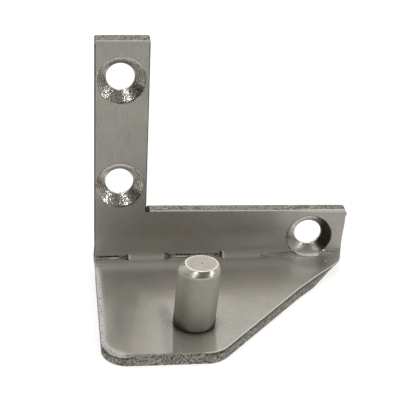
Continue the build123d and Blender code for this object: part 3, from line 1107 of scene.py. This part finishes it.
def foldTree():
    lengths = (
        "Bend line", "Inside bend radius", "Bend angle", "Edge roughness", "Tear length", "Chatter depth",
        "Chatter size", "Seed",
    )
    tree, given = geometryTree("foldTheBlank", {
        **dict.fromkeys(lengths, "NodeSocketFloat"), **dict.fromkeys(finishes, "NodeSocketMaterial"),
    })
    place = addNode(tree, "GeometryNodeInputPosition").outputs[0]
    height = addNode(tree, "ShaderNodeSeparateXYZ", {0: place}).outputs["Z"]
    stored = {
        name: addNode(tree, "GeometryNodeInputNamedAttribute", {"Name": name}, data_type=kind).outputs[0]
        for name, kind in (
            ("outward", "FLOAT_VECTOR"), ("wallShare", "FLOAT"), ("chatter", "FLOAT"), ("along", "FLOAT"),
            ("finish", "INT"),
        )
    }

    # Wear: the torn edge's noise runs along it and changes slowly down it, and the countersink tool's
    # chatter lifts the cone
    slow = addNode(tree, "ShaderNodeMath", {0: height, 1: 0.4}, operation="MULTIPLY").outputs[0]
    run = addNode(tree, "ShaderNodeCombineXYZ", {"X": stored["along"], "Y": slow}).outputs[0]
    lifted = addNode(tree, "GeometryNodeInputNormal").outputs[0]
    shifts = []
    for at, size, detail, depth, share, direction in (
        (run, "Tear length", 2.0, "Edge roughness", "wallShare", stored["outward"]),
        (place, "Chatter size", 1.0, "Chatter depth", "chatter", lifted),
    ):
        noise = addNode(tree, "ShaderNodeTexNoise", {
            "Vector": at, "W": given["Seed"], "Detail": detail,
            "Scale": addNode(tree, "ShaderNodeMath", {0: 1.0, 1: given[size]}, operation="DIVIDE").outputs[0],
        }, noise_dimensions="4D").outputs["Fac"]
        reach = addNode(tree, "ShaderNodeMath", {0: given[depth], 1: stored[share]}, operation="MULTIPLY")
        swing = addNode(tree, "ShaderNodeMapRange", {"Value": noise, "To Min": -1.0, "To Max": 1.0})
        amount = addNode(tree, "ShaderNodeMath", {
            0: swing.outputs[0], 1: reach.outputs[0],
        }, operation="MULTIPLY").outputs[0]
        shift = addNode(tree, "ShaderNodeVectorMath", {0: direction, "Scale": amount}, operation="SCALE")
        shifts.append(shift.outputs[0])
    worn = addNode(tree, "ShaderNodeVectorMath", {
        0: place,
        1: addNode(tree, "ShaderNodeVectorMath", {0: shifts[0], 1: shifts[1]}, operation="ADD").outputs[0],
    }, operation="ADD").outputs[0]
    part = addNode(tree, "ShaderNodeSeparateXYZ", {0: worn}).outputs

    # Fold: the blank runs level to the bend line, round the bend and on up at the bend angle
    known = {
        "y": part["Y"], "z": part["Z"], "line": given["Bend line"], "radius": given["Inside bend radius"],
        "bend": given["Bend angle"], "nothing": 0.0,
    }
    for name, operation, *inputs in (
        ("turned", "DIVIDE", "y", "radius"),
        ("turnedPast", "MAXIMUM", "turned", "nothing"),
        ("angle", "MINIMUM", "turnedPast", "bend"),
        ("sine", "SINE", "angle"),
        ("cosine", "COSINE", "angle"),
        ("level", "MINIMUM", "y", "nothing"),
        ("arc", "MULTIPLY", "radius", "bend"),
        ("past", "SUBTRACT", "y", "arc"),
        ("beyond", "MAXIMUM", "past", "nothing"),
        ("swing", "SUBTRACT", "radius", "z"),
        ("backFlat", "ADD", "line", "level"),
        ("backArc", "MULTIPLY_ADD", "swing", "sine", "backFlat"),
        ("back", "MULTIPLY_ADD", "beyond", "cosine", "backArc"),
        ("dropped", "MULTIPLY", "swing", "cosine"),
        ("raised", "SUBTRACT", "radius", "dropped"),
        ("up", "MULTIPLY_ADD", "beyond", "sine", "raised"),
    ):
        sockets = {i: known[key] for i, key in enumerate(inputs)}
        known[name] = addNode(tree, "ShaderNodeMath", sockets, operation=operation).outputs[0]
    folded = addNode(tree, "GeometryNodeSetPosition", {
        "Geometry": given["Geometry"],
        "Position": addNode(tree, "ShaderNodeCombineXYZ", {
            "X": part["X"], "Y": known["back"], "Z": known["up"],
        }).outputs[0],
    }).outputs[0]
    smooth = addNode(tree, "GeometryNodeSetShadeSmooth", {"Geometry": folded}).outputs[0]
    last = addNode(tree, "GeometryNodeRealizeInstances", {"Geometry": smooth}).outputs[0]
    for number, label in enumerate(finishes):
        chosen = addNode(tree, "FunctionNodeCompare", {
            2: stored["finish"], 3: number,
        }, data_type="INT", operation="EQUAL").outputs[0]
        last = addNode(tree, "GeometryNodeSetMaterial", {
            "Geometry": last, "Selection": chosen, "Material": given[label],
        }).outputs[0]
    addNode(tree, "NodeGroupOutput", {0: last})
    return tree


plate = makeBracket()
runTree(plate, foldTree(), {
    "Bend line": bendLine * mm,
    "Inside bend radius": bracket["insideBendRadius"] * mm,
    "Bend angle": math.pi / 2,
    "Edge roughness": bracket["edgeRoughness"] * mm,
    "Tear length": bracket["tearLength"] * mm,
    "Chatter depth": bracket["chatterDepth"] * mm,
    "Chatter size": bracket["chatterSize"] * mm,
    "Seed": bracket["seed"],
    "Sheet": makeSheetFinish(),
    "Sheared edge": makeShearedFinish(),
    "Countersink": makeSinkFinish(),
})
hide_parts("bracket_plate")
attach(plate, "root")
print("bracket folded:", len(plate.data.polygons), "faces")


# Pin: its half section, turned round the axis by the tree. Lengths are in mm.
pin = {
    "headReach": 4.1,
    "headRise": 1.1,
    "spigotRadius": 3.0,
    "footChamfer": 0.28,
    "topChamfer": 1.1,
    "faceRadius": 3.78,
    "faceShift": 0.45,              # the faced end sits this far to the right of the shank's axis
    "centreMark": 0.3,
    "softEdge": 0.16,
    "sectionStep": 0.5,
    "around": 128,
    "turnPitch": 0.5,
    "turnDepth": 0.004,
}


def pinSection():
    bottom, top = pinLow.z / mm, pinHigh.z / mm
    foot, mark = pin["footChamfer"], pin["centreMark"]
    corners = [                     # radius, height, rounding, faced share, chamfer share
        (0.0, bottom, 0.0, 0.0, 0.0),
        (pin["headReach"], bottom, 0.05, 0.0, 0.0),
        (pin["spigotRadius"], bottom + pin["headRise"], 0.0, 0.0, 0.0),
        (pin["spigotRadius"], 0.0, 0.0, 0.0, 0.0),
        (pinRadius - foot, 0.0, 0.03, 0.0, 0.0),
        (pinRadius, foot, 0.08, 0.0, 0.0),
        (pinRadius, top - pin["topChamfer"], 0.06, 0.0, 0.7),
        (pin["faceRadius"], top, pin["softEdge"], 1.0, 1.0),
        (mark, top, 0.04, 1.0, 0.0),
        (0.0, top - mark, 0.0, 1.0, 0.0),
    ]
    section, faced, bevelled = [], [], []
    for i, (r, z, soft, share, bevel) in enumerate(corners):
        here = Vector((r, z))
        bend = [here]
        if soft:
            before = Vector(corners[i - 1][:2]) - here
            after = Vector(corners[i + 1][:2]) - here
            start, end = here + before.normalized() * soft, here + after.normalized() * soft
            bend = [
                start * (1 - t) ** 2 + here * 2 * t * (1 - t) + end * t ** 2
                for t in (0.0, 0.25, 0.5, 0.75, 1.0)
            ]
        if section:
            run = bend[0] - section[-1]
            count = max(1, round(run.length / pin["sectionStep"]))
            section += [section[-1] + run * k / count for k in range(1, count)]
            faced += [max(share, faced[-1]) for k in range(1, count)]
            bevelled += [min(bevel, bevelled[-1]) for k in range(1, count)]
        section += bend
        faced += [share] * len(bend)
        bevelled += [bevel] * len(bend)
    return section, faced, bevelled


def turnTree():
    lengths = (
        "Face shift", "Foot shift", "Shank top", "Spigot radius", "End height",
        "Turning pitch", "Turning depth",
    )
    tree, given = geometryTree("turnTheSection", {
        "Around": "NodeSocketInt", **dict.fromkeys(lengths, "NodeSocketFloat"), "Steel": "NodeSocketMaterial",
    })
    section = given["Geometry"]
    count = addNode(tree, "GeometryNodeAttributeDomainSize", {"Geometry": section}).outputs["Point Count"]
    known = {
        "index": addNode(tree, "GeometryNodeInputIndex").outputs[0], "count": count,
        "around": given["Around"], "one": 1.0, "fullTurn": 2.0 * math.pi,
        "pitch": given["Turning pitch"], "depth": given["Turning depth"],
        "shankTop": given["Shank top"], "spigot": given["Spigot radius"],
        "shelf": -1e-6, "shankFoot": 0.0005, "wavyRadius": 0.004, "dipRadius": 0.0005,
    }
    for name, operation, *inputs in (
        ("columns", "ADD", "around", "one"),
        ("row", "MODULO", "index", "count"),
        ("columnShare", "DIVIDE", "index", "count"),
        ("column", "FLOOR", "columnShare"),
        ("turnShare", "DIVIDE", "column", "around"),
        ("angle", "MULTIPLY", "turnShare", "fullTurn"),
        ("cosine", "COSINE", "angle"),
        ("sine", "SINE", "angle"),
    ):
        sockets = {i: known[key] for i, key in enumerate(inputs)}
        known[name] = addNode(tree, "ShaderNodeMath", sockets, operation=operation).outputs[0]
    grid = addNode(tree, "GeometryNodeMeshGrid", {
        "Size X": 1.0, "Size Y": 1.0, "Vertices X": known["columns"], "Vertices Y": count,
    })
    sample = addNode(tree, "GeometryNodeSampleIndex", {
        "Geometry": section, "Index": known["row"],
        "Value": addNode(tree, "GeometryNodeInputPosition").outputs[0],
    }, data_type="FLOAT_VECTOR").outputs[0]
    part = addNode(tree, "ShaderNodeSeparateXYZ", {0: sample}).outputs
    known["r"], known["z"] = part["X"], part["Z"]

    # The faced end is out of line with the shank, so the chamfer is wide on one side. The shank leans: it
    # stands off to the left at its foot and is back in place at its top
    known["rise"], known["lean"] = (
        addNode(tree, "ShaderNodeMapRange", {
            "Value": part["Z"], "From Min": low, "From Max": high, "To Min": first, "To Max": last,
        }).outputs[0]
        for low, high, first, last in (
            (given["Shank top"], given["End height"], 0.0, given["Face shift"]),
            (0.0, given["Shank top"], given["Foot shift"], 0.0),
        )
    )
    for name, operation, *inputs in (
        # feed marks of the lathe, on the shank only
        ("pitches", "DIVIDE", "z", "pitch"),
        ("phase", "MULTIPLY", "pitches", "fullTurn"),
        ("wave", "SINE", "phase"),
        ("onShank", "GREATER_THAN", "z", "shankFoot"),
        ("shankDepth", "MULTIPLY", "depth", "onShank"),
        ("shallow", "MULTIPLY", "wave", "shankDepth"),
        ("notAxis", "GREATER_THAN", "r", "wavyRadius"),
        ("radius", "MULTIPLY_ADD", "shallow", "notAxis", "r"),
        # the whole of the faced end is shifted, with the bottom of its centre mark
        ("nearAxis", "LESS_THAN", "r", "dipRadius"),
        ("atEnd", "GREATER_THAN", "z", "shankTop"),
        ("dip", "MULTIPLY", "nearAxis", "atEnd"),
        # only what stands above the shelf leans, and not the spigot in its hole
        ("aboveShelf", "GREATER_THAN", "z", "shelf"),
        ("outOfHole", "GREATER_THAN", "r", "spigot"),
        ("free", "MAXIMUM", "outOfHole", "atEnd"),
        ("moved", "MULTIPLY", "aboveShelf", "free"),
        ("leaning", "MULTIPLY", "moved", "lean"),
    ):
        sockets = {i: known[key] for i, key in enumerate(inputs)}
        known[name] = addNode(tree, "ShaderNodeMath", sockets, operation=operation).outputs[0]
    shift = addNode(tree, "ShaderNodeMix", {
        "Factor": known["dip"], 2: known["rise"], 3: given["Face shift"],
    }, data_type="FLOAT").outputs[0]
    axisX = addNode(tree, "ShaderNodeMath", {0: shift, 1: known["leaning"]}, operation="SUBTRACT").outputs[0]
    x = addNode(tree, "ShaderNodeMath", {
        0: known["radius"], 1: known["cosine"], 2: axisX,
    }, operation="MULTIPLY_ADD").outputs[0]
    y = addNode(tree, "ShaderNodeMath", {
        0: known["radius"], 1: known["sine"],
    }, operation="MULTIPLY").outputs[0]
    stored = grid.outputs["Mesh"]
    for name in ("facedEnd", "chamfer"):
        named = addNode(tree, "GeometryNodeInputNamedAttribute", {"Name": name}, data_type="FLOAT").outputs[0]
        share = addNode(tree, "GeometryNodeSampleIndex", {
            "Geometry": section, "Index": known["row"], "Value": named,
        }, data_type="FLOAT").outputs[0]
        stored = addNode(tree, "GeometryNodeStoreNamedAttribute", {
            "Geometry": stored, "Name": name, "Value": share,
        }, data_type="FLOAT", domain="POINT").outputs[0]
    turned = addNode(tree, "GeometryNodeSetPosition", {
        "Geometry": stored,
        "Position": addNode(tree, "ShaderNodeCombineXYZ", {"X": x, "Y": y, "Z": part["Z"]}).outputs[0],
    }).outputs[0]
    closed = addNode(tree, "GeometryNodeMergeByDistance", {"Geometry": turned, "Distance": 1e-6}).outputs[0]
    smooth = addNode(tree, "GeometryNodeSetShadeSmooth", {"Geometry": closed}).outputs[0]
    real = addNode(tree, "GeometryNodeRealizeInstances", {"Geometry": smooth}).outputs[0]
    steel = addNode(tree, "GeometryNodeSetMaterial", {
        "Geometry": real, "Material": given["Steel"],
    }).outputs[0]
    addNode(tree, "NodeGroupOutput", {0: steel})
    return tree


def makePin():
    section, faced, bevelled = pinSection()
    mesh = bpy.data.meshes.new("turnedPin")
    points = [(r * mm, 0.0, z * mm) for r, z in section]
    mesh.from_pydata(points, [(k, k + 1) for k in range(len(points) - 1)], [])
    addAttribute(mesh, "facedEnd", "FLOAT", "POINT", faced)
    addAttribute(mesh, "chamfer", "FLOAT", "POINT", bevelled)
    piece = newObject("turnedPin", mesh)
    runTree(piece, turnTree(), {
        "Around": pin["around"],
        "Face shift": pin["faceShift"] * mm,
        "Foot shift": footShift * mm,
        "Spigot radius": (pin["spigotRadius"] + 0.1) * mm,
        "Shank top": pinHigh.z - pin["topChamfer"] * mm,
        "End height": pinHigh.z,
        "Turning pitch": pin["turnPitch"] * mm,
        "Turning depth": pin["turnDepth"] * mm,
        "Steel": makePinFinish(),
    })
    faceOutwards(piece.data, "pin:")
    return piece


shank = makePin()
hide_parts("hinge_pin")
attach(shank, "root")
print("pin turned:", len(shank.data.polygons), "faces")


# Studio: pale floor and room, brightest behind the object, with three small lamps for the glints. What
# the metal mirrors is darker in front, overhead and low on the left, as the photograph's room was.
studio = {
    "floorSize": 6.0,
    "floorColour": "#cfcfcd",
    "plainLevel": 0.62,             # strength of the room as light on matt things
    "backLevel": 0.92,              # and as metal mirrors it
    "frontLevel": 0.22,
    "frontToBack": (-0.5, 0.5),
    "overheadShare": 0.6,           # only in front
    "overheadToBack": (-0.25, 0.15),
    "overheadHeight": (0.55, 0.85),
    "leftShare": 0.1,
    "leftEnd": (-0.85, -0.6),
    "floorGlow": 0.66,
    "floorMirrored": 0.9,
    "sideMirrored": 0.5,            # the floor far out at both sides, as metal mirrors it
    "floorSides": (0.035, 0.095),   # m
    "lamps": (                      # name, direction from the object, distance, width, height, watts
        ("keyLamp", (-0.39, -0.31, 0.865), 0.55, 0.05, 0.05, 0.22),
        ("sideLamp", (0.776, -0.391, 0.492), 0.60, 0.05, 0.05, 0.34),
        ("backLamp", (0.099, 0.818, 0.566), 0.70, 0.025, 0.11, 0.11),
    ),
}


def rayShares(tree):
    # one for rays from the camera, and one for rays mirrored by metal or sent on by something clear
    path = addNode(tree, "ShaderNodeLightPath").outputs
    mirrored = addNode(tree, "ShaderNodeMath", {
        0: path["Is Glossy Ray"], 1: path["Is Transmission Ray"],
    }, operation="ADD", use_clamp=True).outputs[0]
    return path["Is Camera Ray"], mirrored


world = bpy.data.worlds.new("paleRoom")
bpy.context.scene.world = world
world.use_nodes = True
room = world.node_tree
room.nodes.clear()
toward = addNode(room, "ShaderNodeSeparateXYZ", {
    0: addNode(room, "ShaderNodeTexCoord").outputs["Generated"],
}).outputs
levels = {
    "full": 1.0, "front": studio["frontLevel"], "back": studio["backLevel"],
    "overhead": studio["overheadShare"], "left": studio["leftShare"],
}
for name, axis, span, first, last in (
    ("depth", "Y", "frontToBack", "front", "back"),
    ("above", "Y", "overheadToBack", "overhead", "full"),
    ("height", "Z", "overheadHeight", "full", "above"),
    ("side", "X", "leftEnd", "left", "full"),
):
    levels[name] = addNode(room, "ShaderNodeMapRange", {
        "Value": toward[axis], "From Min": studio[span][0], "From Max": studio[span][1],
        "To Min": levels[first], "To Max": levels[last],
    }).outputs[0]
seen = levels["depth"]
for name in ("height", "side"):
    seen = addNode(room, "ShaderNodeMath", {0: seen, 1: levels[name]}, operation="MULTIPLY").outputs[0]
fromCamera, fromMetal = rayShares(room)
strength = studio["plainLevel"]
for share, level in ((fromMetal, seen), (fromCamera, 1.0)):
    strength = addNode(room, "ShaderNodeMix", {
        "Factor": share, 2: strength, 3: level,
    }, data_type="FLOAT").outputs[0]
addNode(room, "ShaderNodeOutputWorld", {
    "Surface": addNode(room, "ShaderNodeBackground", {
        "Color": (1.0, 1.0, 1.0, 1.0), "Strength": strength,
    }).outputs[0],
})

floorMaterial, floorTree = newMaterial("paleFloorPaint")
fromCamera, fromMetal = rayShares(floorTree)
painted = addNode(floorTree, "ShaderNodeBsdfPrincipled", {
    "Base Color": linearColour(studio["floorColour"]), "Roughness": 0.8, "Specular IOR Level": 0.0,
    "Emission Color": (1.0, 1.0, 1.0, 1.0),
    "Emission Strength": addNode(floorTree, "ShaderNodeMath", {
        0: fromCamera, 1: studio["floorGlow"],
    }, operation="MULTIPLY").outputs[0],
}).outputs[0]
acrossFloor = addNode(floorTree, "ShaderNodeSeparateXYZ", {
    0: addNode(floorTree, "ShaderNodeTexCoord").outputs["Object"],
}).outputs["X"]
mirroredFloor = addNode(floorTree, "ShaderNodeEmission", {
    "Strength": addNode(floorTree, "ShaderNodeMapRange", {
        "Value": addNode(floorTree, "ShaderNodeMath", {0: acrossFloor}, operation="ABSOLUTE").outputs[0],
        "From Min": studio["floorSides"][0], "From Max": studio["floorSides"][1],
        "To Min": studio["floorMirrored"], "To Max": studio["sideMirrored"],
    }).outputs[0],
}).outputs[0]
addNode(floorTree, "ShaderNodeOutputMaterial", {
    "Surface": addNode(floorTree, "ShaderNodeMixShader", {
        0: fromMetal, 1: painted, 2: mirroredFloor,
    }).outputs[0],
})
half = studio["floorSize"] / 2
floorMesh = bpy.data.meshes.new("floor")
floorCorners = [(x * half, y * half, plateLow.z) for x, y in ((-1, -1), (1, -1), (1, 1), (-1, 1))]
floorMesh.from_pydata(floorCorners, [], [(0, 1, 2, 3)])
floorMesh.materials.append(floorMaterial)
floor = newObject("floor", floorMesh)

middle = (cadLow + cadHigh) / 2
for name, direction, distance, width, height, watts in studio["lamps"]:
    lamp = bpy.data.lights.new(name, "AREA")
    lamp.shape = "RECTANGLE"
    lamp.size, lamp.size_y = width, height
    lamp.energy = watts
    holder = newObject(name, lamp)
    toLamp = Vector(direction).normalized()
    holder.location = middle + toLamp * distance
    holder.rotation_euler = toLamp.to_track_quat("Z", "Y").to_euler()
print("studio lit")


# Camera, solved from the photograph's 400 pixel frame
camera = {
    "focalPixels": 1192.935,
    "framePixels": 400,
    "sensor": 36.0,                 # mm
    "place": (-31.737, -224.903, 141.963),
    "yaw": 7.889,
    "pitch": 26.146,
    "roll": -2.533,
}
yaw, pitch, roll = (math.radians(camera[turn]) for turn in ("yaw", "pitch", "roll"))
forward = Vector((math.sin(yaw) * math.cos(pitch), math.cos(yaw) * math.cos(pitch), -math.sin(pitch)))
level = Vector((math.cos(yaw), -math.sin(yaw), 0.0))
down = forward.cross(level)
across = level * math.cos(roll) + down * math.sin(roll)
below = down * math.cos(roll) - level * math.sin(roll)
lens = bpy.data.cameras.new("photoCamera")
lens.sensor_width = camera["sensor"]
lens.lens = camera["focalPixels"] / camera["framePixels"] * camera["sensor"]
lens.clip_start = 0.01
lens.clip_end = 20.0
viewer = newObject("photoCamera", lens)
turned = Matrix((across, -below, -forward)).transposed().to_4x4()
viewer.matrix_world = Matrix.Translation(Vector(camera["place"]) * mm) @ turned
bpy.context.scene.camera = viewer
bpy.context.scene.view_settings.view_transform = "Standard"
print("camera placed")

bpy.context.view_layer.update()
